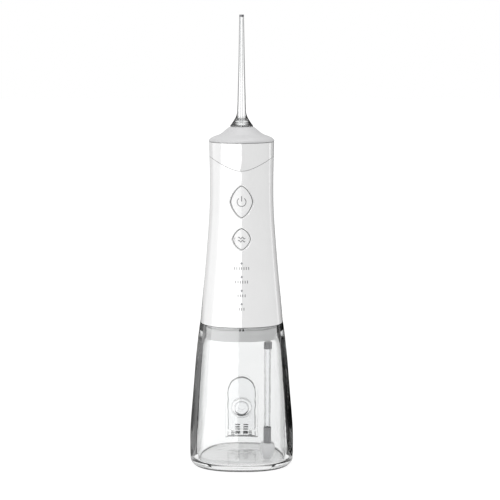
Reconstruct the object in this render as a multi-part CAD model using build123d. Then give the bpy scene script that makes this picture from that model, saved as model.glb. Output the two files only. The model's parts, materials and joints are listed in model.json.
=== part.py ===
from build123d import *
from math import acos, cos, pi, radians, sin, sqrt, tan
import os

os.makedirs("parts", exist_ok=True)

# Cordless water flosser. Millimetres, +Z up, front faces -Y, origin at the centre of the base.

# ---- driving dimensions -------------------------------------------------------------------
TOTAL_HEIGHT = 300.0
TANK_TOP = 96.0          # the handle lifts off the tank here
HANDLE_BOTTOM = 96.3
HEAD_TOP = 216.8
SHELL_WALL = 2.0
TANK_FLOOR = 3.3
NECK_HALF = 25.0         # straight bore of the tank's mouth
CUP_HALF = 23.65         # neck cup that hangs into the mouth
SEAM_GAP = 0.25

# rows: height, half width, depth / width, outline exponent, height of the front ridge
HANDLE_ROWS = [
    (HANDLE_BOTTOM, 27.75, 0.96, 2.45, 0.5), (103, 27.15, 0.96, 2.42, 0.7),
    (117, 25.8, 0.96, 2.38, 0.8), (130.5, 24.5, 0.96, 2.34, 0.8),
    (144, 23.35, 0.96, 2.30, 0.8), (157.6, 22.3, 0.96, 2.26, 0.7),
    (170, 21.5, 0.965, 2.22, 0.5), (184, 21.15, 0.97, 2.18, 0.25),
    (195, 21.2, 0.98, 2.12, 0.0), (206, 21.4, 0.99, 2.06, 0.0),
    (HEAD_TOP, 21.6, 1.0, 2.0, 0.0),
]
TANK_ROWS = [
    (0, 35.0, 0.96, 2.5, 0), (13, 35.0, 0.96, 2.5, 0), (34, 34.0, 0.96, 2.5, 0),
    (55, 32.2, 0.96, 2.5, 0), (66, 31.3, 0.96, 2.5, 0), (76, 30.35, 0.96, 2.48, 0),
    (87, 29.1, 0.96, 2.46, 0), (TANK_TOP, 27.85, 0.96, 2.45, 0),
]
WATER_ROWS = [
    (TANK_FLOOR, 30.4, 0.96, 2.5, 0), (13, 30.5, 0.96, 2.5, 0), (34, 30.0, 0.96, 2.5, 0),
    (55, 28.8, 0.96, 2.5, 0), (66, 28.0, 0.96, 2.5, 0), (76, 27.1, 0.96, 2.48, 0),
    (82, 26.2, 0.96, 2.46, 0), (87, NECK_HALF, 0.96, 2.45, 0),
]
RIDGE_REACH = 14.0       # the ridge fades out this far each side of the middle

POWER_Z, POWER_W, POWER_H = 178.7, 13.8, 20.3
MODE_Z, MODE_W, MODE_H = 154.25, 11.1, 13.4
BUTTON_GAP = 0.3
LEAF_POWER = 1.5          # 1 is a diamond, 2 an ellipse
BEZEL = 1.0
LIGHT_Z = (138.5, 129.6, 120.6, 111.8)

NOZZLE_TIP_R, NOZZLE_ROOT_R, JET_R = 1.5, 3.0, 0.8
NOZZLE_SEAT_Z = 226.95
HUB_R, HUB_BORE_R, HUB_BOTTOM = 8.0, 3.2, 200.0
RUN = 0.05               # radial running clearance

GEAR_XY, PINION_XY = (-6.0, -4.0), (-6.0, 9.6)
GEAR_TEETH, PINION_TEETH, MODULE = 36, 9, 0.6
CRANK = 1.2              # half the pump stroke
PUMP_Z = 102.8
VALVE_X = 17.4
TUBE_XY = (17.4, -11.0)

DOOR_HALF, DOOR_LOW, DOOR_TOP = 10.5, 8.6, 50.3
POCKET_HALF, POCKET_DEPTH = 12.25, 2.6
HINGE_Y, HINGE_Z, HINGE_R = 32.3, 8.9, 1.2
PLUG_Z, PLUG_R = 28.2, 5.8
PORT_Z = 150.0
PORT_HINGE_Y, PORT_HINGE_Z = 21.6, 145.0

BATTERY_XY, BATTERY_R = (-3.0, 2.0), 8.5
BATTERY_BOTTOM, BATTERY_TOP = 142.0, 186.0
MOTOR_R, MOTOR_BOTTOM, MOTOR_TOP = 9.0, 111.5, 139.0
SHAFT_R = 1.0
POSTS = [(-17.5, -12), (-18, 9), (12, 14), (12, -15)]      # chassis screws


# ---- shared shapes ------------------------------------------------------------------------
def outline(row, grow=0.0):
    """One closed outline, a squared ellipse with an optional crease at the front."""
    z, half, ratio, power, ridge = row
    a, b = half + grow, half * ratio + grow
    points = []
    for i in range(36):
        t = -pi / 2 + 2 * pi * i / 36
        x = a * abs(cos(t)) ** (2 / power) * (1 if cos(t) >= 0 else -1)
        y = b * abs(sin(t)) ** (2 / power) * (1 if sin(t) >= 0 else -1)
        if y < 0 and abs(x) < RIDGE_REACH:
            y -= ridge * (1 - abs(x) / RIDGE_REACH) ** 2
        points.append((x, y, z))
    points.append(points[0])
    slope = 2 * ridge / RIDGE_REACH
    start, end = Vector(1, slope, 0).normalized(), Vector(1, -slope, 0).normalized()
    return Wire([Edge.make_spline([Vector(*p) for p in points], tangents=[start, end],
                                  scale=False)])


def skin(rows, grow=0.0):
    """Smooth solid through a list of outlines."""
    return Solid.make_loft([outline(row, grow) for row in rows])


def footed(rows, r):
    """Smooth solid whose lower edge is rounded to radius r."""
    z, *shape = rows[0]
    turn = [i * pi / 10 for i in range(6)]
    foot = [outline((z + r * (1 - cos(t)), *shape), -r * (1 - sin(t))) for t in turn]
    return Solid.make_loft(foot) + skin([(z + r, *shape)] + rows[1:])


def prism(half, z0, z1, power=2.45, ratio=0.96):
    """Upright solid with one squared-ellipse outline."""
    face = Face(outline((z0, half, ratio, power, 0)))
    return extrude(face, z1 - z0, dir=(0, 0, 1))


def rod_z(r, z0, z1, at=(0, 0)):
    return Pos(at[0], at[1], (z0 + z1) / 2) * Cylinder(r, z1 - z0)


def rod_y(r, y0, y1, x, z):
    return Pos(x, (y0 + y1) / 2, z) * Rot(90, 0, 0) * Cylinder(r, y1 - y0)


def rod_x(r, x0, x1, y, z):
    return Pos((x0 + x1) / 2, y, z) * Rot(0, 90, 0) * Cylinder(r, x1 - x0)


def block(x0, x1, y0, y1, z0, z1):
    return Pos((x0 + x1) / 2, (y0 + y1) / 2, (z0 + z1) / 2) * Box(x1 - x0, y1 - y0, z1 - z0)


def turned(points):
    """Revolve an (r, z) outline round the upright axis."""
    wire = Polyline(*[(r, 0, z) for r, z in points], close=True)
    return revolve(make_face(wire), Axis.Z, 360)


def leaf(width, height, z, grow, y0, y1):
    """Upright rounded diamond, running along Y."""
    w, h = width / 2 + grow, height / 2 + grow
    points = []
    for i in range(24):
        t = 2 * pi * i / 24
        x = w * abs(cos(t)) ** (2 / LEAF_POWER) * (1 if cos(t) >= 0 else -1)
        rise = h * abs(sin(t)) ** (2 / LEAF_POWER) * (1 if sin(t) >= 0 else -1)
        points.append((x, y0, z + rise))
    return extrude(make_face(Spline(*points, periodic=True)), y1 - y0, dir=(0, 1, 0))


def arch(half, z0, z1, y0, y1):
    """Round-topped upright panel running along Y."""
    spring = z1 - half
    side = Polyline((-half, y0, spring), (-half, y0, z0), (half, y0, z0), (half, y0, spring))
    top = ThreePointArc((half, y0, spring), (0, y0, z1), (-half, y0, spring))
    return extrude(make_face([side, top]), y1 - y0, dir=(0, 1, 0))


def gear(teeth, phase, z0, z1, tip, root, thin):
    """Involute spur gear; teeth are thinned for backlash, phase turns the first tooth."""
    pitch = MODULE * teeth / 2
    base = pitch * cos(radians(20))

    def spread(r):
        a = acos(min(1, base / max(r, base)))
        return tan(a) - a

    radii = [root + (tip - root) * i / 4 for i in range(5)]
    outline_points = []
    for k in range(teeth):
        centre = phase + 2 * pi * k / teeth
        half = [pi / (2 * teeth) - thin / pitch + spread(pitch) - spread(r) for r in radii]
        flank = [(r, centre - h) for r, h in zip(radii, half)]
        flank += [(r, centre + h) for r, h in reversed(list(zip(radii, half)))]
        outline_points += [(r * cos(a), r * sin(a), z0) for r, a in flank]
    return extrude(make_face(Polyline(*outline_points, close=True)), z1 - z0, dir=(0, 0, 1))


def save(shape, node):
    solids = shape.solids() if hasattr(shape, "solids") else [shape]
    shape = solids[0] if len(solids) == 1 else Compound(children=list(solids))
    export_step(shape, f"parts/{node}.step")


def front(z):
    """Distance from the middle to the handle's front face at height z."""
    rows = [row for row in HANDLE_ROWS if row[0] >= z]
    low = HANDLE_ROWS[len(HANDLE_ROWS) - len(rows) - 1]
    share = (z - low[0]) / (rows[0][0] - low[0])
    reach = [row[1] * row[2] + row[4] for row in (low, rows[0])]
    return reach[0] + share * (reach[1] - reach[0])


def together(shapes):
    return Compound(children=[s for shape in shapes for s in shape.solids()])


# ---- tank: shell, fill door, plug and hinge --------------------------------------------------
tank_outer = footed(TANK_ROWS, 3.0)
water = footed(WATER_ROWS, 2.0)
mouth = prism(NECK_HALF, 86.9, TANK_TOP + 1)

pocket = arch(POCKET_HALF, 6.6, DOOR_TOP + 1.6, 20, 40)
pocket_floor = skin(TANK_ROWS, -POCKET_DEPTH)
hinge_lugs = [block(x - 1.2, x + 1.2, 30.4, HINGE_Y, HINGE_Z - HINGE_R, HINGE_Z + HINGE_R)
              + rod_x(HINGE_R, x - 1.2, x + 1.2, HINGE_Y, HINGE_Z) for x in (-6.5, 6.5)]
pin_hole = rod_x(0.6, -7.8, 7.8, HINGE_Y, HINGE_Z)

tank_shell = tank_outer - water - mouth - (pocket - pocket_floor)
tank_shell += rod_y(7.55, 26.5, 30.2, 0, PLUG_Z)       # boss round the fill hole
tank_shell -= rod_y(6.7, 20, 40, 0, PLUG_Z)
tank_shell -= block(-18, 18, -17, 17, -1, 1.0)         # standing recess
tank_shell = tank_shell + hinge_lugs[0] + hinge_lugs[1] - pin_hole
save(tank_shell, "tank_shell")
save(rod_x(0.6, -7.7, 7.7, HINGE_Y, HINGE_Z), "door_hinge_pin")

door = skin(TANK_ROWS) & arch(DOOR_HALF, HINGE_Z + 2.2, DOOR_TOP, 20, 40)
door -= skin(TANK_ROWS, -POCKET_DEPTH + 0.4)
for side in (-1, 1):
    x = side * 3.0
    knuckle = rod_x(HINGE_R, x - 1.9, x + 1.9, HINGE_Y, HINGE_Z)
    arm = block(x - 1.9, x + 1.9, HINGE_Y - 0.9, HINGE_Y + 0.9, HINGE_Z, HINGE_Z + 3.4)
    door += knuckle + arm
door -= rod_x(0.65, -8, 8, HINGE_Y, HINGE_Z)
save(door - rod_y(2.6, 20, 32.0, 0, PLUG_Z), "fill_door")

plug_face = skin(TANK_ROWS, -POCKET_DEPTH + 0.4)
plug = (Pos(0, 29.2, PLUG_Z) * Rot(90, 0, 0) * Cone(PLUG_R - 0.7, PLUG_R, 5.0)) & plug_face
plug -= rod_y(3.6, 20, 29.6, 0, PLUG_Z)
stud = rod_y(2.6, 29.6, 32.0, 0, PLUG_Z)
save(plug + stud, "fill_plug")

# ---- neck cup, seal, suction hose -------------------------------------------------------------
handle_inner = skin(HANDLE_ROWS, -SHELL_WALL)
cup = prism(CUP_HALF, 86, 97) - prism(CUP_HALF - 2, 88, 98)
flange = (handle_inner & block(-40, 40, -40, 40, 97, 99.5)) - prism(CUP_HALF - 2, 96, 101)
neck_cup = cup + flange
for x, y in POSTS:
    neck_cup += rod_z(2.2, 87.5, 109.5, (x, y)) - rod_z(0.9, 99.5, 110, (x, y))
neck_cup += block(VALVE_X - 2.2, VALVE_X + 2.2, -13.2, -1.4, 87.5, 90)
neck_cup += rod_z(1.3, 80, 87, TUBE_XY) + rod_z(1.7, 84.4, 87, TUBE_XY)
neck_cup -= block(VALVE_X - 0.8, VALVE_X + 0.8, -11.8, -3.2, 87, 89)
neck_cup -= rod_z(0.8, 79, 88, TUBE_XY) + rod_z(1.2, 88.5, 91, (VALVE_X, -4))
neck_cup -= prism(CUP_HALF + 1, 90.5, 93.5) - prism(CUP_HALF - 0.8, 90, 94)
save(neck_cup, "neck_cup")
save(prism(NECK_HALF - 0.3, 90.5, 93.5) - prism(CUP_HALF - 0.8, 90, 94), "neck_seal")

tube = rod_z(2.1, 14.9, 84.4, TUBE_XY)
sleeves = together([rod_z(2.55, z0, z1, TUBE_XY) - rod_z(2.1, z0 - 1, z1 + 1, TUBE_XY)
                    for z0, z1 in ((14.9, 25.0), (79.4, 84.4))])
save(tube - rod_z(1.3, 14, 85, TUBE_XY), "suction_tube")
save(sleeves, "tube_sleeves")
weight = turned([(0, 3.8), (2.2, 3.8), (3.0, 4.6), (4.3, 8.6), (4.95, 12.0), (4.95, 13.6),
                 (4.2, 14.9), (0, 14.9)])
weight = Pos(TUBE_XY[0], TUBE_XY[1], 0) * weight
save(weight - rod_z(1.3, 8, 16, TUBE_XY) - rod_x(0.6, 10, 25, TUBE_XY[1], 6.6), "filter_weight")

# ---- handle shell, head band, buttons, lights --------------------------------------------------
def seam(lift):
    """Everything below the head seam, which dips to a point at the front."""
    points = [(x, -40, 198.7 + lift + sqrt(5.2 ** 2 + (0.6 * x) ** 2) - 5.2)
              for x in range(-30, 31, 3)]
    face = make_face([Spline(*points), Polyline(points[-1], (30, -40, 80), (-30, -40, 80),
                                                points[0])])
    return extrude(face, 80, dir=(0, 1, 0))


BUTTONS = {"power": (POWER_W, POWER_H, POWER_Z), "mode": (MODE_W, MODE_H, MODE_Z)}
body = skin(HANDLE_ROWS)
below_seam, above_seam = seam(0), seam(SEAM_GAP)
port_pad = handle_inner & block(-10, 10, 17.6, 30, 142, 158)
port_pocket = block(-8.3, 8.3, 0, 40, 144.0, 155.3) - skin(HANDLE_ROWS, -1.8)
port_hole = block(-4.6, 4.6, 10, 40, PORT_Z - 1.7, PORT_Z + 1.7)
light_holes = together([rod_y(0.75, -40, -14, 0, z) for z in LIGHT_Z])
button_holes = together([leaf(w, h, z, BUTTON_GAP + BEZEL, -40, -10)
                         for w, h, z in BUTTONS.values()])

handle_shell = (body & below_seam) - handle_inner + port_pad
handle_shell = handle_shell - port_pocket - port_hole - light_holes - button_holes
save(handle_shell, "handle_shell")
save(body - above_seam - (skin(HANDLE_ROWS, -SHELL_WALL) & block(-40, 40, -40, 40, 0, 214.8))
     - rod_z(12.1, 200, 220), "head_band")

bezels = []
for w, h, z in BUTTONS.values():
    ring = leaf(w, h, z, BUTTON_GAP + BEZEL, -40, -10) - leaf(w, h, z, BUTTON_GAP, -40, -10)
    bezels.append((ring & skin(HANDLE_ROWS, 0.35)) - handle_inner)
save(together(bezels), "button_bezels")

cap_outside, cap_inside = skin(HANDLE_ROWS, 0.45), skin(HANDLE_ROWS, -1.5)
for name, (w, h, z) in BUTTONS.items():
    cap = (leaf(w, h, z, 0, -40, -10) & cap_outside) - cap_inside
    stem = rod_y(1.6, -40, -16.8, 0, z) & skin(HANDLE_ROWS, -1.0)
    save(cap + stem, f"{name}_button")

lights = [rod_y(0.75, -front(z) - 0.05, -15.2, 0, z) for z in LIGHT_Z]
save(together(lights), "light_pipes")

# ---- electronics --------------------------------------------------------------------------------
save(block(-9, 9, -15.0, -13.4, 109.8, 187), "circuit_board")
switches = [block(-3, 3, -15.9, -15.0, z - 3, z + 3) + rod_y(1.4, -16.2, -15.5, 0, z)
            for _, _, z in BUTTONS.values()]
save(together(switches), "tact_switches")
leds = [block(-0.8, 0.8, -15.2, -15.0, z - 0.8, z + 0.8) for z in LIGHT_Z]
save(together(leds), "indicator_leds")
cell = rod_z(BATTERY_R, BATTERY_BOTTOM, BATTERY_TOP, BATTERY_XY)
cell += rod_z(3, BATTERY_TOP, BATTERY_TOP + 1, BATTERY_XY)
save(cell, "battery_cell")
holder = rod_z(BATTERY_R + 1.7, BATTERY_BOTTOM - 2.2, BATTERY_TOP + 3, BATTERY_XY)
holder -= rod_z(BATTERY_R + 0.1, BATTERY_BOTTOM, BATTERY_TOP + 1, BATTERY_XY)
holder -= block(-20, 20, -20, 3, BATTERY_BOTTOM, BATTERY_TOP + 1)
for z0, z1 in ((BATTERY_BOTTOM - 2.2, BATTERY_BOTTOM), (BATTERY_TOP + 1, BATTERY_TOP + 3)):
    holder += block(-7, 7, -13.4, 2, z0, z1)
holder += block(-4, -2, 11.8, 30, 165, 180) & handle_inner
save(holder - rod_z(1.3, 139, 140.8, PINION_XY), "battery_holder")
socket = block(-4.5, 4.5, 12.6, 22, PORT_Z - 1.6, PORT_Z + 1.6)
socket = fillet(socket.edges().filter_by(Axis.Y), 1.5) & skin(HANDLE_ROWS, -1.8)
socket -= block(-4.0, 4.0, 14, 25, PORT_Z - 1.1, PORT_Z + 1.1)
save(socket + block(-3, 3, 13.5, 17, PORT_Z - 0.35, PORT_Z + 0.35), "charging_socket")

cover = (block(-8, 8, 10, 40, 145.9, 155.0) & skin(HANDLE_ROWS)) - skin(HANDLE_ROWS, -1.5)
cover += rod_x(0.6, -5.5, 5.5, PORT_HINGE_Y, PORT_HINGE_Z)
cover += block(-5.5, 5.5, PORT_HINGE_Y - 0.5, PORT_HINGE_Y + 0.5, PORT_HINGE_Z, 146.4)
save(cover, "port_cover")

# ---- head: core, turning collar and nozzle ------------------------------------------------------
core = rod_z(11, 192, 214.8) + rod_z(15, 212.8, 214.8)
core -= rod_z(HUB_R + RUN, 198.5, 216) + rod_z(9.5, 205.5, 206.5)
core += block(0, 16, -3, 3, 192, 197) + rod_z(2.4, 187.5, 192, (14.5, 0))
core -= rod_x(1.4, 0, 14.5, 0, 194.5) + rod_z(1.4, 194.5, 200) + rod_z(1.4, 187, 194.5, (14.5, 0))
save(core, "head_core")
save(rod_z(9.5, 205.5, 206.5) - rod_z(7.6, 205, 207), "retaining_ring")

collar = turned([(0, 200.0), (HUB_R, 200.0), (HUB_R, 217.1), (21.7, 217.1), (21.75, 217.6),
                 (21.4, 218.3), (20.6, 219.1), (19.2, 219.9), (17.2, 220.7), (15.4, 221.3),
                 (13.8, 222.1), (12.4, 223.1), (11.0, 224.3), (9.6, 225.5), (8.6, 226.2),
                 (7.75, 226.7), (0, 226.7)])
collar -= turned([(HUB_R, 217.0), (19.8, 217.0), (19.0, 218.0), (16.5, 219.0), (13.5, 220.2),
                  (11.4, 221.8), (HUB_R, 224.2)])
collar -= rod_z(HUB_BORE_R, 199, 219) + rod_z(5.0, 218, 228)
collar -= rod_z(9, 205.2, 206.8) - rod_z(7.3, 205, 207)
collar -= rod_z(9, 202.4, 203.6) - rod_z(6.9, 202, 204)
save(collar, "nozzle_collar")
ring = Pos(0, 0, 203.0) * Torus(7.45, 0.5)
save(ring, "collar_seal")

nozzle = turned([(0, 203.0), (3.1, 203.0), (3.1, 218.3), (4.8, 218.3), (4.8, NOZZLE_SEAT_Z),
                 (7.6, NOZZLE_SEAT_Z), (7.5, 227.6), (6.5, 228.8), (5.3, 230.6), (4.2, 232.4),
                 (3.45, 234.2), (NOZZLE_ROOT_R, 236.0), (2.7, 243), (2.3, 256), (1.95, 272),
                 (1.7, 288), (NOZZLE_TIP_R, 298.5), (0, 298.5)])
nozzle -= rod_z(JET_R, 202, 301) + rod_z(1.6, 202, 221)
nozzle -= turned([(5.2, 226), (6.8, 226), (6.8, 227.9), (5.6, 229.2), (5.2, 228.6)])
nozzle -= rod_z(4, 206.2, 207.8) - rod_z(2.4, 206, 208)
save(nozzle, "nozzle")
save(rod_z(NOZZLE_TIP_R, 298.5, TOTAL_HEIGHT) - rod_z(JET_R, 298, 301), "nozzle_tip")
save(Pos(0, 0, 207.0) * Torus(2.78, 0.37), "nozzle_seal")

# ---- pump: motor, gears, crank, piston, valves ---------------------------------------------------
plate = prism(22, 109.5, 111.5) - rod_z(3.8, 109, 112, (VALVE_X, GEAR_XY[1]))
plate -= rod_z(3.1, 109, 112, PINION_XY)
plate -= block(-9.4, 9.4, -30, -13.2, 109, 112)
plate += rod_z(1.25, 105.4, 111.5, GEAR_XY)
for x, y in POSTS:
    plate -= rod_z(1.2, 109, 112, (x, y))
save(plate, "gearbox_plate")
screws = [rod_z(0.9, 101, 111.5, p) + rod_z(1.9, 111.5, 112.9, p) for p in POSTS]
save(together(screws), "chassis_screws")

can = rod_z(MOTOR_R, MOTOR_BOTTOM, MOTOR_TOP, PINION_XY)
can += rod_z(3.0, MOTOR_BOTTOM - 2, MOTOR_BOTTOM, PINION_XY)
can -= rod_z(MOTOR_R - 0.8, MOTOR_BOTTOM + 1, MOTOR_TOP - 1, PINION_XY)
can -= rod_z(SHAFT_R + RUN, 109, 140, PINION_XY)
save(can, "motor_can")
armature = rod_z(6.6, 115, 135, PINION_XY) - rod_z(SHAFT_R, 114, 136, PINION_XY)
for k in range(3):
    slot = Pos(*PINION_XY, 125) * Rot(0, 0, 120 * k) * Pos(6, 0, 0) * Box(4, 1.6, 30)
    armature -= slot
save(armature, "motor_armature")
save(rod_z(SHAFT_R, 104.6, MOTOR_TOP + 0.5, PINION_XY), "motor_shaft")
pinion = gear(PINION_TEETH, radians(10), 104.8, 108.2, 3.15, 1.95, 0.1)
save(Pos(*PINION_XY, 0) * pinion - rod_z(SHAFT_R, 104, 109, PINION_XY), "motor_pinion")

wheel = Pos(*GEAR_XY, 0) * gear(GEAR_TEETH, 0, 104.4, 108.4, 11.2, 9.95, 0.1)
wheel -= rod_z(1.25 + RUN, 105.2, 109, GEAR_XY)
wheel -= rod_z(8.6, 107.0, 109, GEAR_XY) - rod_z(3.0, 106, 110, GEAR_XY)
save(wheel, "drive_gear")
PIN_XY = (GEAR_XY[0] + CRANK, GEAR_XY[1])
save(rod_z(1.0, 101.0, 104.4, PIN_XY), "crank_pin")
conrod = rod_z(2.6, 101.4, 104.2, PIN_XY) + rod_z(1.3, 101.4, 104.2, (9.0, PIN_XY[1]))
conrod += block(PIN_XY[0], 9.0, PIN_XY[1] - 1.1, PIN_XY[1] + 1.1, 101.4, 104.2)
save(conrod - rod_z(1.0 + RUN, 101, 105, PIN_XY), "conrod")

PUMP_Y = GEAR_XY[1]
piston = rod_x(4.45, 8.0, 14.6, PUMP_Y, PUMP_Z) - rod_x(3.4, 7, 13.0, PUMP_Y, PUMP_Z)
piston -= rod_x(5, 13.4, 14.2, PUMP_Y, PUMP_Z) - rod_x(3.9, 13, 15, PUMP_Y, PUMP_Z)
save(piston, "piston")
save(rod_x(4.46, 13.4, 14.2, PUMP_Y, PUMP_Z) - rod_x(3.9, 13, 15, PUMP_Y, PUMP_Z), "piston_ring")

pump = rod_x(6.3, 6.6, 15.6, PUMP_Y, PUMP_Z) + rod_z(3.2, 90, 112, (VALVE_X, PUMP_Y))
pump += rod_z(2.4, 112, 115, (VALVE_X, PUMP_Y)) + block(9, 13, PUMP_Y - 3, PUMP_Y + 3, 88, 97.5)
pump -= rod_x(4.5, 6, 15.0, PUMP_Y, PUMP_Z) + rod_x(1.0, 14, VALVE_X, PUMP_Y, PUMP_Z)
pump -= rod_z(1.0, 89, 116, (VALVE_X, PUMP_Y))
VALVE_SEATS = {"inlet": 95.0, "outlet": 106.5}
BALL_R = 1.5
for name, seat in VALVE_SEATS.items():
    pump -= rod_z(BALL_R + 0.3, seat, seat + 4.2, (VALVE_X, PUMP_Y))
    height = seat + sqrt(BALL_R ** 2 - 1.0) + 0.12
    save(Pos(VALVE_X, PUMP_Y, height) * Sphere(BALL_R), f"{name}_ball")
save(pump, "pump_body")

path = FilletPolyline((VALVE_X, PUMP_Y, 112), (VALVE_X, PUMP_Y, 122), (14.5, 0, 150),
                      (14.5, 0, 192), radius=[50, 140])
hose = sweep(Plane(origin=path @ 0, z_dir=path % 0) * Circle(3.0), path)
hose -= rod_z(2.4, 111, 115, (VALVE_X, PUMP_Y)) + rod_z(2.4, 187.5, 193, (14.5, 0))
bore = sweep(Plane(origin=path @ 0, z_dir=path % 0) * Circle(1.6), path)
save(hose - bore, "delivery_hose")
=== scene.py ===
import json
import math

import bmesh
import bpy
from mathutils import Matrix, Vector
from mathutils.bvhtree import BVHTree


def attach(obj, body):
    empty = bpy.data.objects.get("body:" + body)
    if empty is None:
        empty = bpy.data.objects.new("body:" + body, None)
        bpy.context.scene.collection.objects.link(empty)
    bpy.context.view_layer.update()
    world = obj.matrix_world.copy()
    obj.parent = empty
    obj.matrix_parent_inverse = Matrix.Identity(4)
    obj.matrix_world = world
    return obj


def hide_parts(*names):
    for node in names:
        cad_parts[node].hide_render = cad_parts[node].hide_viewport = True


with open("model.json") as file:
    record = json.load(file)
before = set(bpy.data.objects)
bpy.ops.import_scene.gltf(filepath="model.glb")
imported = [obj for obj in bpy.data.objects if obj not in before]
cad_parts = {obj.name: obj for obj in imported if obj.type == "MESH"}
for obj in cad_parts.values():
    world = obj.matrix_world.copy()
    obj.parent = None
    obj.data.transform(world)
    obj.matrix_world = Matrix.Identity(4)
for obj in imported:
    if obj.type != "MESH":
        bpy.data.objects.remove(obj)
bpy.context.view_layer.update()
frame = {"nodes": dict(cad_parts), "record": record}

MM = 0.001
NODES = frame["nodes"]

# Dimensions in millimetres. Z is the height above the floor.
LEAF_POWER = 1.5                                    # 1 is a diamond, 2 an ellipse
BUTTONS = {"power": (13.8, 20.3, 178.7), "mode": (11.1, 13.4, 154.25)}  # width, height, z
BUTTON_GAP = 0.3
BEZEL = 1.0
LIGHTS = {138.5: 7, 129.6: 6, 120.6: 4, 111.8: 3}   # z of each light: ticks below it
DOOR_HALF, DOOR_TOP, DOOR_FOOT = 10.5, 50.3, 11.3
DOOR_SHADE_INSET = 0.35
POCKET_FOOT = 7.84
RIB_ROWS = (11.4, 12.9, 14.5)
INNER_WALL_Y = 31.0                                 # used where no wall is met
PLUG_Z = 28.2
SEAT_RING_Y, SEAT_RING_R = 26.4, 7.3


# ---- materials ----------------------------------------------------------------------------
def new_material(name):
    """A material with its principled shader and a coordinate node in object space."""
    mat = bpy.data.materials.new(name)
    mat.use_nodes = True
    nodes = mat.node_tree.nodes
    shader = nodes["Principled BSDF"]
    coords = nodes.new("ShaderNodeTexCoord")
    return mat, nodes, mat.node_tree.links, shader, coords


def add_noise(nodes, links, coords, scale, detail=3.0):
    """Noise texture in object space."""
    noise = nodes.new("ShaderNodeTexNoise")
    noise.inputs["Scale"].default_value = scale
    noise.inputs["Detail"].default_value = detail
    links.new(coords.outputs["Object"], noise.inputs["Vector"])
    return noise


def remap(nodes, links, source, low, high):
    """Map a 0-1 value to the range low-high."""
    node = nodes.new("ShaderNodeMapRange")
    node.inputs["To Min"].default_value = low
    node.inputs["To Max"].default_value = high
    links.new(source, node.inputs["Value"])
    return node.outputs["Result"]


def add_bump(nodes, links, shader, height, strength, distance):
    """Bump from a height value; distance is in metres."""
    bump = nodes.new("ShaderNodeBump")
    bump.inputs["Strength"].default_value = strength
    bump.inputs["Distance"].default_value = distance
    links.new(height, bump.inputs["Height"])
    links.new(bump.outputs["Normal"], shader.inputs["Normal"])


def tint(nodes, links, noise, shader, colour, spread):
    """Colour that drifts a little with the noise."""
    ramp = nodes.new("ShaderNodeValToRGB")
    ramp.color_ramp.elements[0].position = 0.3
    ramp.color_ramp.elements[1].position = 0.7
    ramp.color_ramp.elements[0].color = [c * (1 - spread) for c in colour] + [1]
    ramp.color_ramp.elements[1].color = [min(1, c * (1 + spread)) for c in colour] + [1]
    links.new(noise.outputs["Fac"], ramp.inputs["Fac"])
    links.new(ramp.outputs["Color"], shader.inputs["Base Color"])


def plastic(name, colour, rough, grain=0.04, coat=0.0, metallic=0.0, spread=0.012,
            coat_ior=1.5):
    """Moulded plastic, rubber or metal with a fine surface grain."""
    mat, nodes, links, shader, coords = new_material(name)
    broad = add_noise(nodes, links, coords, 60)
    fine = add_noise(nodes, links, coords, 2600)
    tint(nodes, links, broad, shader, colour, spread)
    links.new(remap(nodes, links, broad.outputs["Fac"], rough * 0.92, rough * 1.08),
              shader.inputs["Roughness"])
    add_bump(nodes, links, shader, fine.outputs["Fac"], grain, 0.00004)
    shader.inputs["Metallic"].default_value = metallic
    shader.inputs["Coat Weight"].default_value = coat
    shader.inputs["Coat Roughness"].default_value = 0.04
    shader.inputs["Coat IOR"].default_value = coat_ior
    return mat


def paint_rim_shade(nodes, links, shader, start, end, tone):
    """Painted shade: multiply the colour down to tone as the surface turns away from start to
    end.
    """
    weight = nodes.new("ShaderNodeLayerWeight")
    ramp = nodes.new("ShaderNodeMapRange")
    ramp.inputs["From Min"].default_value = start
    ramp.inputs["From Max"].default_value = end
    ramp.inputs["To Min"].default_value = 1.0
    ramp.inputs["To Max"].default_value = tone
    links.new(weight.outputs["Facing"], ramp.inputs["Value"])
    mix = nodes.new("ShaderNodeMix")
    mix.data_type = "RGBA"
    mix.blend_type = "MULTIPLY"
    colour_a, colour_b, colour_out = mix.inputs[6], mix.inputs[7], mix.outputs[2]
    mix.inputs["Factor"].default_value = 1.0
    source = shader.inputs["Base Color"].links[0].from_socket
    links.new(source, colour_a)
    links.new(ramp.outputs["Result"], colour_b)
    links.new(colour_out, shader.inputs["Base Color"])


def clear(name, colour, rough=0.0, ior=1.5, rim=None):
    """Clear moulded plastic with very faint flow waves; rim is the start, end and tone of
    the painted shade that darkens its glancing edges."""
    mat, nodes, links, shader, coords = new_material(name)
    broad = add_noise(nodes, links, coords, 45, 1.0)
    tint(nodes, links, broad, shader, colour, 0.004)
    links.new(remap(nodes, links, broad.outputs["Fac"], rough, rough + 0.01),
              shader.inputs["Roughness"])
    shader.inputs["Transmission Weight"].default_value = 1.0
    shader.inputs["IOR"].default_value = ior
    if rim is not None:
        paint_rim_shade(nodes, links, shader, *rim)
    return mat


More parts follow.
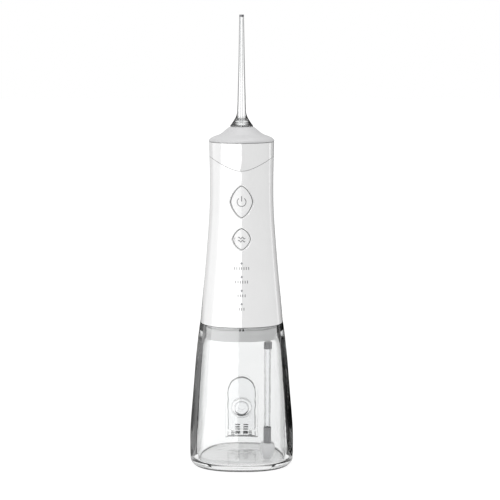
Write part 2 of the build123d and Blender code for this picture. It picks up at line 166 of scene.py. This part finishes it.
MATERIALS = {
    # The rim values paint shade into the colour of the tank, nozzle and tube at their glancing
    # edges.
    "tank_clear": clear("tank_clear", (0.905, 0.91, 0.91), rim=(0.55, 0.85, 0.08)),
    "door_clear": clear("door_clear", (0.95, 0.955, 0.96), 0.02),
    "nozzle_clear": clear("nozzle_clear", (0.99, 0.995, 0.995), 0.0, 1.35, rim=(0.12, 0.5, 0.02)),
    "soft_clear": clear("soft_clear", (0.93, 0.935, 0.94), 0.12, 1.12),
    "handle_white": plastic("handle_white", (0.73, 0.73, 0.73), 0.35, grain=0.03, coat=1.0,
                            coat_ior=1.7),
    "head_gloss": plastic("head_gloss", (0.74, 0.74, 0.74), 0.06, grain=0.0, coat=1.0,
                          coat_ior=1.8),
    "button_white": plastic("button_white", (0.72, 0.72, 0.72), 0.3),
    "bezel_grey": plastic("bezel_grey", (0.42, 0.42, 0.43), 0.3),
    "light_clear": plastic("light_clear", (0.3, 0.31, 0.32), 0.15),
    "collar_grey": plastic("collar_grey", (0.47, 0.47, 0.475), 0.5, grain=0.06),
    "tip_grey": plastic("tip_grey", (0.12, 0.12, 0.13), 0.35),
    "seal_rubber": plastic("seal_rubber", (0.02, 0.02, 0.022), 0.55),
    "cup_white": plastic("cup_white", (0.8, 0.8, 0.8), 0.35),
    "neck_rubber": plastic("neck_rubber", (0.84, 0.84, 0.84), 0.5),
    "tube_clear": clear("tube_clear", (0.97, 0.975, 0.98), 0.03, 1.35, rim=(0.2, 0.6, 0.3)),
    "sleeve_grey": plastic("sleeve_grey", (0.33, 0.33, 0.34), 0.5),
    "filter_grey": plastic("filter_grey", (0.86, 0.86, 0.87), 0.35),
    "steel": plastic("steel", (0.62, 0.63, 0.65), 0.22, metallic=1.0),
    "board_green": plastic("board_green", (0.01, 0.09, 0.035), 0.35),
    "switch_black": plastic("switch_black", (0.02, 0.02, 0.022), 0.4),
    "led_white": plastic("led_white", (0.85, 0.84, 0.7), 0.2),
    "battery_wrap": plastic("battery_wrap", (0.03, 0.09, 0.3), 0.25, coat=0.5),
    "frame_grey": plastic("frame_grey", (0.1, 0.105, 0.11), 0.5),
    "core_grey": plastic("core_grey", (0.55, 0.55, 0.56), 0.45),
    "motor_steel": plastic("motor_steel", (0.5, 0.51, 0.53), 0.3, metallic=1.0),
    "iron": plastic("iron", (0.12, 0.1, 0.09), 0.5, metallic=1.0),
    "brass": plastic("brass", (0.8, 0.58, 0.25), 0.28, metallic=1.0),
    "acetal": plastic("acetal", (0.8, 0.79, 0.75), 0.4),
    "pump_grey": plastic("pump_grey", (0.35, 0.36, 0.38), 0.45),
    "hose": clear("hose", (0.9, 0.91, 0.92), 0.15, 1.4),
    # mark_grey is print ink; it also colours painted shade: the lines round the fill door and its
    # pocket's foot, and the plug's crescent.
    "mark_grey": plastic("mark_grey", (0.13, 0.13, 0.135), 0.5),
    # mark_black is black print and grip ribs; it also colours painted shadow under the handle's
    # rim and round the tank's base.
    "mark_black": plastic("mark_black", (0.02, 0.02, 0.02), 0.5),
    "gasket_grey": plastic("gasket_grey", (0.3, 0.3, 0.31), 0.5),
    "cover_rubber": plastic("cover_rubber", (0.7, 0.7, 0.71), 0.6),
}

for part in frame["record"]["subparts"]:
    node = NODES[part["node"]]
    node.data.materials.clear()
    node.data.materials.append(MATERIALS[part["material_slot"]])


# ---- mesh helpers ---------------------------------------------------------------------------
def surface_of(*names):
    """Search tree of the CAD faces of these nodes."""
    verts, faces = [], []
    for name in names:
        mesh = NODES[name].data
        base = len(verts)
        verts += [v.co.copy() for v in mesh.vertices]
        faces += [[base + k for k in p.vertices] for p in mesh.polygons]
    return BVHTree.FromPolygons(verts, faces)


def front_y(tree, x, z, fallback=None):
    """Y of the first face met from the front at x, z, all in millimetres."""
    hit = tree.ray_cast(Vector((x * MM, -0.08, z * MM)), Vector((0, 1, 0)))
    if hit[0] is None:
        return fallback
    return hit[0].y / MM


def leaf_point(width, height, grow, turn):
    """Point of a rounded diamond's outline; turn runs from 0 to 1."""
    angle = 2 * math.pi * turn
    c, s = math.cos(angle), math.sin(angle)
    x = (width / 2 + grow) * abs(c) ** (2 / LEAF_POWER) * math.copysign(1, c)
    z = (height / 2 + grow) * abs(s) ** (2 / LEAF_POWER) * math.copysign(1, s)
    return x, z


def make_piece(name, verts, faces, material, body, slot, smooth=True):
    """Link a mesh given in millimetres as a piece that rides on a body."""
    mesh = bpy.data.meshes.new(name)
    mesh.from_pydata([Vector(v) * MM for v in verts], [], faces)
    mesh.validate()
    mesh.materials.append(MATERIALS[material])
    mesh.shade_smooth() if smooth else mesh.shade_flat()
    obj = bpy.data.objects.new(name, mesh)
    bpy.context.scene.collection.objects.link(obj)
    bm = bmesh.new()
    bm.from_mesh(mesh)
    bmesh.ops.recalc_face_normals(bm, faces=bm.faces)
    bm.to_mesh(mesh)
    bm.free()
    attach(obj, body)
    return obj


def sharpen(obj, degrees):
    """Keep edges steeper than this crisp."""
    bm = bmesh.new()
    bm.from_mesh(obj.data)
    for edge in bm.edges:
        if len(edge.link_faces) == 2 and edge.calc_face_angle() > math.radians(degrees):
            edge.smooth = False
    bm.to_mesh(obj.data)
    bm.free()


def ring_faces(rings, count, closed=True):
    """Quads between successive rings of count points."""
    faces = []
    last = count if closed else count - 1
    for r in range(rings - 1):
        for i in range(last):
            k = (i + 1) % count
            faces.append((r * count + i, r * count + k, (r + 1) * count + k, (r + 1) * count + i))
    return faces


def tube_along(points, radius, sides=10, closed=False):
    """Round bead along a list of points; returns vertices and faces in millimetres."""
    verts = []
    n = len(points)
    for i, p in enumerate(points):
        ahead = points[(i + 1) % n] if closed or i < n - 1 else p
        behind = points[i - 1] if closed or i > 0 else p
        along = (Vector(ahead) - Vector(behind)).normalized()
        side = along.cross(Vector((0, 1, 0))).normalized()
        up = side.cross(along)
        for k in range(sides):
            a = 2 * math.pi * k / sides
            verts.append(Vector(p) + radius * (math.cos(a) * side + math.sin(a) * up))
    faces = []
    for i in range(n if closed else n - 1):
        for k in range(sides):
            a, b = i * sides + k, i * sides + (k + 1) % sides
            c, d = (b + sides) % (n * sides), (a + sides) % (n * sides)
            faces.append((a, b, c, d))
    if not closed:
        faces.append(tuple(range(sides)))
        faces.append(tuple((n - 1) * sides + k for k in reversed(range(sides))))
    return verts, faces


def join_parts(parts):
    """Merge several (vertices, faces) lists."""
    verts, faces = [], []
    for part_verts, part_faces in parts:
        base = len(verts)
        verts += list(part_verts)
        faces += [tuple(base + k for k in f) for f in part_faces]
    return verts, faces


# ---- buttons ----------------------------------------------------------------------------------
shell_tree = surface_of("handle_shell")


def button_cap(name, width, height, z0):
    """Cap with a soft edge and the handle's crease down its middle."""
    tree = surface_of(f"{name}_button")
    count, edge, proud = 96, 0.8, 0.15
    shares = [0.02, 0.2, 0.4, 0.6, 0.75, 0.86]
    verts = [(0, front_y(tree, 0, z0) + proud, z0)]
    for share in shares:
        for i in range(count):
            x, dz = leaf_point(width, height, 0, i / count)
            x, dz = x * share, dz * share
            verts.append((x, front_y(tree, x, z0 + dz) + proud, z0 + dz))
    for step in range(7):
        turn = math.pi / 2 * step / 6
        for i in range(count):
            x, dz = leaf_point(width, height, -edge + edge * math.sin(turn), i / count)
            inner_x, inner_dz = leaf_point(width, height, -edge, i / count)
            y = front_y(tree, inner_x, z0 + inner_dz) + proud + edge * (1 - math.cos(turn))
            verts.append((x, y, z0 + dz))
    for i in range(count):
        x, dz = leaf_point(width, height, 0, i / count)
        inner_x, inner_dz = leaf_point(width, height, -edge, i / count)
        verts.append((x, front_y(tree, inner_x, z0 + inner_dz) + proud + 1.9, z0 + dz))
    rings = len(shares) + 8
    faces = [(0, 1 + i, 1 + (i + 1) % count) for i in range(count)]
    faces += [tuple(1 + k for k in f) for f in ring_faces(rings, count)]
    last = 1 + (rings - 1) * count
    faces.append(tuple(last + i for i in reversed(range(count))))
    cap = make_piece(f"{name}_cap", verts, faces, "button_white", f"{name}_button",
                     "button_white")
    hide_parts(f"{name}_button")
    return cap


def button_bezel(name, width, height, z0):
    """Dished rim that slopes in from the shell to the gap round a button."""
    count = 96
    rings = [(BUTTON_GAP + BEZEL, 0.0), (BUTTON_GAP + BEZEL - 0.12, 0.04),
             (BUTTON_GAP + 0.55, 0.28), (BUTTON_GAP + 0.14, 0.56), (BUTTON_GAP, 0.7),
             (BUTTON_GAP, 2.1), (BUTTON_GAP + BEZEL, 2.1)]
    verts = []
    for grow, depth in rings:
        for i in range(count):
            x, dz = leaf_point(width, height, grow, i / count)
            rim_x, rim_dz = leaf_point(width, height, BUTTON_GAP + BEZEL + 0.25, i / count)
            verts.append((x, front_y(shell_tree, rim_x, z0 + rim_dz, -20) + depth, z0 + dz))
    faces = ring_faces(len(rings), count)
    last = (len(rings) - 1) * count
    faces += [(last + i, last + (i + 1) % count, (i + 1) % count, i) for i in range(count)]
    return make_piece(f"{name}_bezel", verts, faces, "handle_white", "handle", "bezel_grey")


caps = {name: button_cap(name, *size) for name, size in BUTTONS.items()}
bezels = [button_bezel(name, *size) for name, size in BUTTONS.items()]
for bezel in bezels:
    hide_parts("button_bezels")


# ---- printed marks and indicator lenses --------------------------------------------------------
def ink_strip(tree, points, half_width, lift=0.03):
    """Thin printed line that lies on the front surface; points are (x, z)."""
    verts = []
    n = len(points)
    for i, (x, z) in enumerate(points):
        ax, az = points[min(i + 1, n - 1)]
        bx, bz = points[max(i - 1, 0)]
        length = math.hypot(ax - bx, az - bz)
        nx, nz = -(az - bz) / length * half_width, (ax - bx) / length * half_width
        for sign in (1, -1):
            px, pz = x + sign * nx, z + sign * nz
            y = front_y(tree, px, pz) - lift
            verts += [(px, y, pz), (px, y + 2 * lift, pz)]
    faces = []
    for i in range(n - 1):
        a, b = 4 * i, 4 * i + 4
        faces += [(a, a + 2, b + 2, b), (a + 1, b + 1, b + 3, a + 3), (a, b, b + 1, a + 1),
                  (a + 2, a + 3, b + 3, b + 2)]
    faces += [(0, 1, 3, 2), (4 * n - 4, 4 * n - 2, 4 * n - 1, 4 * n - 3)]
    return verts, faces


def arc_points(x0, z0, radius, start, end, count=28):
    """Points of an arc; angles in degrees from +X towards +Z."""
    out = []
    for i in range(count + 1):
        a = math.radians(start + (end - start) * i / count)
        out.append((x0 + radius * math.cos(a), z0 + radius * math.sin(a)))
    return out


def line_points(x0, z0, x1, z1, count=8):
    return [(x0 + (x1 - x0) * i / count, z0 + (z1 - z0) * i / count) for i in range(count + 1)]


def cap_tree(name):
    mesh = caps[name].data
    return BVHTree.FromPolygons([v.co.copy() for v in mesh.vertices],
                                [list(p.vertices) for p in mesh.polygons])


def power_icon():
    tree = cap_tree("power")
    z0 = BUTTONS["power"][2]
    parts = [ink_strip(tree, arc_points(0, z0, 2.9, 125, 415), 0.24),
             ink_strip(tree, line_points(0, z0 + 0.4, 0, z0 + 3.9), 0.27)]
    return make_piece("power_icon", *join_parts(parts), "mark_grey", "power_button",
                      "bezel_grey", smooth=False)


def mode_icon():
    """Generic wave sign: two stacked zigzags."""
    tree = cap_tree("mode")
    z0 = BUTTONS["mode"][2]
    parts = []
    for dz in (0.9, -1.1):
        xs = [-2.3 + 4.6 * i / 24 for i in range(25)]
        wave = [(x, z0 + dz + 0.62 * math.sin(x * 2 * math.pi / 2.3)) for x in xs]
        parts.append(ink_strip(tree, wave, 0.24))
    return make_piece("mode_icon", *join_parts(parts), "mark_grey", "mode_button",
                      "bezel_grey", smooth=False)


def level_marks():
    """Rows of short ticks below each light, fewer for a gentler setting."""
    parts = []
    for z, ticks in LIGHTS.items():
        for i in range(ticks):
            x = 1.55 * (i - (ticks - 1) / 2)
            parts.append(ink_strip(shell_tree, line_points(x, z - 4.2, x, z - 2.4, 3), 0.24))
    return make_piece("level_marks", *join_parts(parts), "mark_grey", "handle", "bezel_grey",
                      smooth=False)


def light_lenses():
    """Drop-shaped indicator windows, pointed at the top."""
    parts = []
    count = 24
    for z in LIGHTS:
        verts = []
        for scale, out in ((1.0, -0.25), (1.0, 0.04), (0.8, 0.1), (0.3, 0.12)):
            for i in range(count):
                a = 2 * math.pi * i / count
                point = 1 + 0.35 * max(0.0, math.sin(a)) ** 6
                x, dz = 0.7 * math.cos(a) * scale, 0.72 * math.sin(a) * point * scale
                verts.append((x, front_y(shell_tree, 1.3, z, -21) - out, z + dz))
        faces = ring_faces(4, count) + [tuple(range(count))]
        faces.append(tuple(3 * count + i for i in reversed(range(count))))
        parts.append((verts, faces))
    lenses = make_piece("light_lenses", *join_parts(parts), "light_clear", "handle",
                        "light_clear")
    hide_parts("light_pipes")
    return lenses


def alignment_mark():
    """Two small black arrowheads at the front of the tank's mouth."""
    tree = surface_of("tank_shell")
    verts, faces = [], []
    for x0 in (-1.05, 1.05):
        base = len(verts)
        for dx, z in ((-0.85, 93.9), (0.85, 93.9), (0, 95.8)):
            y = front_y(tree, x0 + dx, z)
            verts += [(x0 + dx, y - 0.03, z), (x0 + dx, y + 0.01, z)]
        faces += [(base, base + 2, base + 4), (base + 1, base + 5, base + 3)]
        faces += [(base, base + 1, base + 3, base + 2), (base + 2, base + 3, base + 5, base + 4),
                  (base + 4, base + 5, base + 1, base)]
    return make_piece("alignment_mark", verts, faces, "mark_black", "tank", "seal_rubber",
                      smooth=False)


power_icon()
mode_icon()
level_marks()
light_lenses()
alignment_mark()


# ---- fill door details ----------------------------------------------------------------------
def door_inner_y(tree, x, z):
    """Y of the door's inner face, seen from inside the tank."""
    hit = tree.ray_cast(Vector((x * MM, 0.02, z * MM)), Vector((0, 1, 0)))
    return hit[0].y / MM if hit[0] is not None else None


def door_details():
    """Painted shade lines round the door's edge and along the foot of its pocket, and grip ribs
    on the door.
    """
    tree = surface_of("fill_door")
    half, spring = DOOR_HALF - DOOR_SHADE_INSET, DOOR_TOP - DOOR_HALF
    path = [(-half, DOOR_FOOT + (spring - DOOR_FOOT) * i / 20) for i in range(20)]
    path += arc_points(0, spring, half, 180, 0, 40)
    path += [(half, spring - (spring - DOOR_FOOT) * i / 20) for i in range(1, 21)]
    # Dark grey bead round the door's edge: painted shade for the dark line its edge shows through
    # the tank.
    bead = [(x, door_inner_y(tree, x * 0.97, min(z, DOOR_TOP - 0.8)) or INNER_WALL_Y, z)
            for x, z in path]
    make_piece("door_edge_shade", *tube_along(bead, 0.26, 8), "mark_grey", "fill_door",
               "soft_clear")
    # Dark grey bead along the pocket's foot: painted shade of the pocket's lower edge.
    shell = surface_of("tank_shell")
    foot = [(-half, 0, z) for z in (10.6, 9.6, 8.6)]
    foot += [(half * (i / 8 - 1), 0, POCKET_FOOT) for i in range(17)]
    foot += [(half, 0, z) for z in (8.6, 9.6, 10.6)]
    foot = [(x, (door_inner_y(shell, x, z) or INNER_WALL_Y) - 0.1, z) for x, _, z in foot]
    make_piece("pocket_foot_shade", *tube_along(foot, 0.24, 8), "mark_grey", "tank", "tank_clear")
    ribs = []
    for side in (-1, 1):
        for z in RIB_ROWS:
            points = [(side * (1.2 + 3.6 * i / 6), 0, z) for i in range(7)]
            points = [(x, (door_inner_y(tree, x, z) or 31.2) + 0.12, z) for x, _, z in points]
            ribs.append(tube_along(points, 0.42, 8))
        points = [(side * (1.3 + 3.4 * i / 6), 31.95, 9.3) for i in range(7)]
        ribs.append(tube_along(points, 0.75, 12))
    make_piece("door_ribs", *join_parts(ribs), "mark_black", "fill_door", "soft_clear")


PLUG_PROFILE = [(0, 29.9), (4.2, 29.9), (4.55, 29.6), (4.7, 27.0), (4.85, 26.78), (5.0, 26.78),
                (5.12, 27.0), (5.65, 30.75), (5.5, 30.9), (2.5, 30.9), (2.5, 31.9), (0, 31.9)]


def soft_plug():
    """Hollow silicone plug, turned about its own axis."""
    count = 64
    verts = [(0, PLUG_PROFILE[0][1], PLUG_Z)]
    for r, y in PLUG_PROFILE[1:-1]:
        for i in range(count):
            a = 2 * math.pi * i / count
            verts.append((r * math.cos(a), y, PLUG_Z + r * math.sin(a)))
    rings = len(PLUG_PROFILE) - 2
    verts.append((0, PLUG_PROFILE[-1][1], PLUG_Z))
    last = 1 + (rings - 1) * count
    faces = [(0, 1 + i, 1 + (i + 1) % count) for i in range(count)]
    faces += [tuple(1 + k for k in f) for f in ring_faces(rings, count)]
    faces += [(last + (i + 1) % count, last + i, len(verts) - 1) for i in range(count)]
    plug = make_piece("soft_plug", verts, faces, "soft_clear", "fill_door", "soft_clear")
    sharpen(plug, 35)
    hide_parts("fill_plug")


def plug_details():
    """Lip, painted inner shade and seat ring of the fill plug, seen through the tank's front."""
    tree = surface_of("fill_plug")
    y0 = (door_inner_y(tree, 4.6, PLUG_Z) or 26.8) - 0.05
    lip = [(x, y0, z) for x, z in arc_points(0, PLUG_Z, 4.75, 0, 360, 48)[:-1]]
    make_piece("plug_lip", *tube_along(lip, 0.16, 8, closed=True), "gasket_grey", "fill_door",
               "soft_clear")
    # Dark grey crescent on the plug's face: painted shade of the cup's lower inner wall.
    count = 40
    verts = []
    for i in range(count + 1):
        share = i / count
        a = math.radians(-165 + 150 * share)
        width = 0.95 * math.sin(math.pi * share) + 0.04
        for r, dy in ((4.85, 0), (4.85 + width, 0), (4.85 + width, 0.25), (4.85, 0.25)):
            verts.append((r * math.cos(a), y0 + dy, PLUG_Z + r * math.sin(a)))
    faces = ring_faces(count + 1, 4) + [(0, 1, 2, 3)]
    faces.append(tuple(4 * count + k for k in (3, 2, 1, 0)))
    make_piece("plug_shade", verts, faces, "mark_grey", "fill_door", "soft_clear", smooth=False)
    seat = [(x, SEAT_RING_Y, z)
            for x, z in arc_points(0, PLUG_Z, SEAT_RING_R, 0, 360, 64)[:-1]]
    make_piece("plug_seat_ring", *tube_along(seat, 0.12, 8, closed=True), "gasket_grey", "tank",
               "tank_clear")


def outline_points(node, z, inset, count=120):
    """Closed path along a node's side at height z, set in from its surface."""
    tree = surface_of(node)
    out = []
    for i in range(count):
        a = 2 * math.pi * i / count
        away = Vector((math.cos(a), math.sin(a), 0))
        hit = tree.ray_cast(away * 0.1 + Vector((0, 0, z * MM)), -away)
        p = hit[0] / MM + hit[1] * -inset
        out.append((p.x, p.y, z))
    return out


def painted_shade_rings():
    """Painted shadow: a black line under the handle's rim, a black line at the tank's lower edge
    and a black ring under its foot.
    """
    # Black bead in the gap under the handle's rim: painted shadow of the joint.
    rim = [(x, y, 96.15) for x, y, _ in outline_points("tank_shell", 95.5, 0.5)]
    make_piece("rim_shadow_line", *tube_along(rim, 0.13, 8, closed=True), "mark_black", "handle",
               "seal_rubber")
    # Black bead at the tank's lower edge: painted shade of the base line.
    edge = [(x, y, 1.2) for x, y, _ in outline_points("tank_shell", 1.2, 0.4)]
    make_piece("base_edge_shadow", *tube_along(edge, 0.26, 8, closed=True), "mark_black", "tank",
               "tank_clear")
    # Black ring under the tank's foot: painted contact shadow.
    foot = [(x, y, 0.45) for x, y, _ in outline_points("tank_shell", 6.0, 1.9)]
    make_piece("foot_shadow_ring", *tube_along(foot, 0.44, 10, closed=True), "mark_black", "tank",
               "seal_rubber")


door_details()
soft_plug()
plug_details()
painted_shade_rings()


# ---- studio ----------------------------------------------------------------------------------
def emitter(name, tone, one_sided):
    """Even glow; a one-sided panel is invisible from its back."""
    mat = bpy.data.materials.new(name)
    mat.use_nodes = True
    nodes, links = mat.node_tree.nodes, mat.node_tree.links
    nodes.clear()
    out = nodes.new("ShaderNodeOutputMaterial")
    glow = nodes.new("ShaderNodeEmission")
    glow.inputs["Color"].default_value = (tone, tone, tone, 1)
    glow.inputs["Strength"].default_value = 1.0
    if one_sided:
        side = nodes.new("ShaderNodeNewGeometry")
        unseen = nodes.new("ShaderNodeBsdfTransparent")
        mix = nodes.new("ShaderNodeMixShader")
        links.new(side.outputs["Backfacing"], mix.inputs["Fac"])
        links.new(glow.outputs["Emission"], mix.inputs[1])
        links.new(unseen.outputs["BSDF"], mix.inputs[2])
        links.new(mix.outputs["Shader"], out.inputs["Surface"])
    else:
        links.new(glow.outputs["Emission"], out.inputs["Surface"])
    return mat


def studio_mesh(name, verts, faces, tone, glass):
    """A panel seen only through clear material if glass is true, or else only mirrored."""
    mesh = bpy.data.meshes.new(name)
    mesh.from_pydata(verts, [], faces)
    mesh.materials.append(emitter(name, tone, glass))
    obj = bpy.data.objects.new(name, mesh)
    bpy.context.scene.collection.objects.link(obj)
    obj.visible_camera = False
    obj.visible_diffuse = False
    obj.visible_shadow = False
    obj.visible_glossy = not glass
    obj.visible_transmission = glass


def flag(name, azimuth_low, azimuth_high, tone, low=0.0, high=0.7, near=None):
    """A curved panel 0.5 m away, with an apron on the floor if near is given; azimuth 0 is
    behind the object (+Y) and 90 to its right (+X). Lengths are in metres."""
    steps, far, apron_z = 12, 0.5, 0.0004
    profile = [(far, low), (far, high)]
    if near:
        profile.insert(0, (near, apron_z))
    verts = []
    for i in range(steps + 1):
        a = math.radians(azimuth_low + (azimuth_high - azimuth_low) * i / steps)
        verts += [(math.sin(a) * r, math.cos(a) * r, z) for r, z in profile]
    n = len(profile)
    faces = [(n * i + j, n * i + n + j, n * i + n + j + 1, n * i + j + 1)
             for i in range(steps) for j in range(n - 1)]
    studio_mesh(name, verts, faces, tone, False)


# (z, half width) of the tank's side in millimetres
TANK_EDGE = ((0, 35.0), (13, 35.0), (34, 34.0), (55, 32.2), (66, 31.3), (76, 30.35), (87, 29.1),
             (104, 27.0))


def side_sheet(name, side, inner, outer, tone):
    """A narrow panel beside the tank that follows its side and is seen from the front,
    through clear walls only; side is 1 for right and -1 for left."""
    verts = []
    for z, edge in TANK_EDGE:
        for reach in (inner, outer):
            verts.append((side * (edge + reach) * MM, 0, z * MM))
    faces = [(2 * i, 2 * i + 1, 2 * i + 3, 2 * i + 2)[::side]
             for i in range(len(TANK_EDGE) - 1)]
    studio_mesh(name, verts, faces, tone, True)


def build_studio():
    """White world and floor, one overhead light, and the panels round the object."""
    world = bpy.data.worlds.new("studio")
    bpy.context.scene.world = world
    world.use_nodes = True
    world.node_tree.nodes["Background"].inputs["Color"].default_value = (1, 1, 1, 1)
    world.node_tree.nodes["Background"].inputs["Strength"].default_value = 1.0

    half = 6.0
    corners = [(-half, -half, 0), (half, -half, 0), (half, half, 0), (-half, half, 0)]
    floor_mesh = bpy.data.meshes.new("floor")
    floor_mesh.from_pydata(corners, [], [(0, 1, 2, 3)])
    mat, _, _, shader, _ = new_material("floor_white")
    shader.inputs["Base Color"].default_value = (0.12, 0.12, 0.12, 1)
    shader.inputs["Roughness"].default_value = 0.9
    shader.inputs["Emission Color"].default_value = (1, 1, 1, 1)
    shader.inputs["Emission Strength"].default_value = 0.9
    floor_mesh.materials.append(mat)
    floor = bpy.data.objects.new("floor", floor_mesh)
    bpy.context.scene.collection.objects.link(floor)
    floor.location.z = -0.0002

    top = bpy.data.lights.new("top", "SUN")
    top.energy = 1.5
    top.angle = math.radians(40)
    overhead = bpy.data.objects.new("top", top)
    bpy.context.scene.collection.objects.link(overhead)

    flag("card_left", -177.2, -105, 4.0, near=0.06)
    flag("card_left_high", -105, -62, 1.4, low=0.1)
    flag("dark_front", 66, 182.8, 0.3, near=0.12)
    flag("dark_right_low", 0, 85, 0.01, high=0.045, near=0.04)
    flag("dark_right_high", 0, 56, 0.15, low=0.045)
    flag("dark_left_low", -85, 0, 0.2, high=0.045, near=0.04)
    flag("dark_left_high", -56, 0, 0.62, low=0.045)
    side_sheet("sheet_right", 1, 0.6, 16.0, 0.01)
    side_sheet("sheet_left", -1, 0.6, 13.0, 0.2)
    side_sheet("sheet_left_edge", -1, 13.0, 18.0, 0.02)


def build_camera():
    """Camera one metre in front, looking down a little."""
    camera = bpy.data.cameras.new("camera")
    camera.lens = 108.5
    camera.sensor_width = 36.0
    camera.shift_x = 0.0168
    camera.clip_start = 0.01
    obj = bpy.data.objects.new("camera", camera)
    bpy.context.scene.collection.objects.link(obj)
    obj.location = (0, -1.0, 0.285)
    obj.rotation_euler = (math.radians(90 - 8.02), 0, 0)
    bpy.context.scene.camera = obj


build_studio()
build_camera()
bpy.context.scene.view_settings.view_transform = "Standard"
